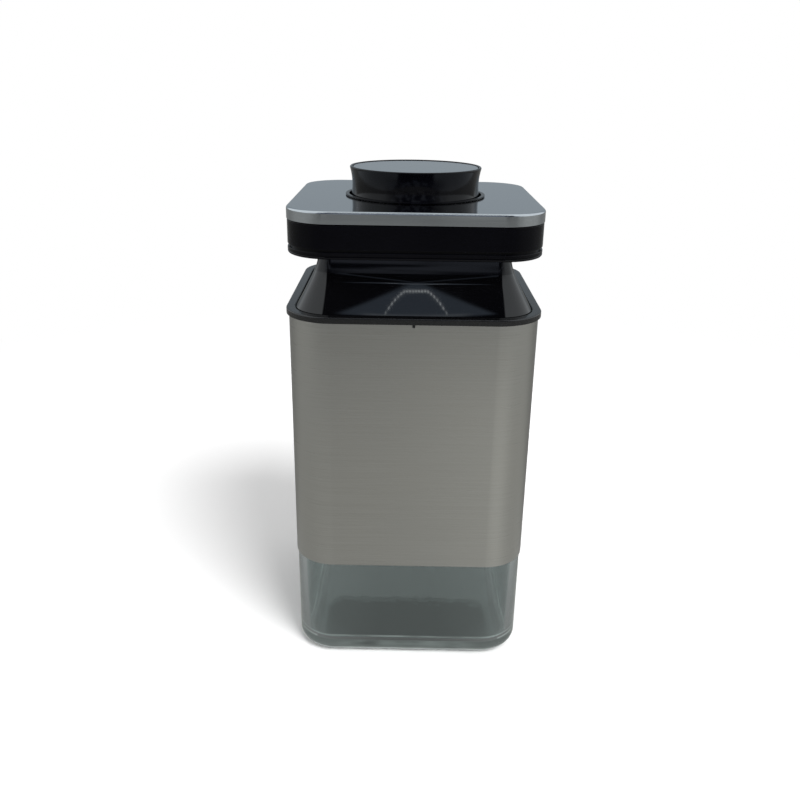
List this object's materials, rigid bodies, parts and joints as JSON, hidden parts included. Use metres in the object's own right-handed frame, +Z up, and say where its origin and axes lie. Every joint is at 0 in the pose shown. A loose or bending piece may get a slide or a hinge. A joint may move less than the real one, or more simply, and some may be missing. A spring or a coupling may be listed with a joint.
{
  "type": "kitchen canister",
  "caption": "Square glass canister with a brushed steel sleeve, a black collar and a lift-off lid with a flared black gasket and a round pop-up knob.",
  "frame": {"origin": "centre of the canister's outline on the table it stands on", "axes": "+Z up along the canister's axis, the front faces -Y, +X to the right seen from the front"},
  "size_m": [0.11, 0.11, 0.2246],
  "materials": {
    "clear_glass": "clear, thick, faint green-grey",
    "brushed_steel": "fine horizontal brushing",
    "polished_steel": "smooth, softly mirrored",
    "gloss_black": "glossy black moulding",
    "satin_black": "satin black moulding",
    "silicone": "soft, matt",
    "black_rubber": "smooth, glossy black rubber",
    "bright_steel": "plain bright wire and screws"
  },
  "bodies": {
    "jar": {"glass_jar": "clear_glass", "steel_sleeve": "brushed_steel", "rim_seal": "silicone", "collar": "gloss_black"},
    "lid": {"lid_steel_cap": "polished_steel", "lid_shell": "gloss_black", "lid_lip_ring": "gloss_black", "plug_wall": "satin_black", "plug_gasket": "black_rubber", "plug_cover": "satin_black", "plug_screw_1": "bright_steel", "plug_screw_2": "bright_steel", "plug_screw_3": "bright_steel", "plug_screw_4": "bright_steel", "bezel_ring": "gloss_black", "knob_well": "satin_black", "latch_housing": "satin_black", "latch_pin": "bright_steel"},
    "knob": {"knob_body": "gloss_black", "knob_disc": "polished_steel", "knob_stem": "satin_black", "knob_spring": "bright_steel"}
  },
  "joints": [
    {"name": "lid_lift", "type": "slide", "parent": "jar", "child": "lid", "axis": [0, 0, 1], "range_m": [-0.0232, 0.05]},
    {"name": "knob_press", "type": "slide", "parent": "lid", "child": "knob", "axis": [0, 0, 1], "range_m": [-0.0114, 0], "stiffness_N_per_m": 150, "springref_m": 0.015, "deforming": ["knob_spring"]}
  ]
}
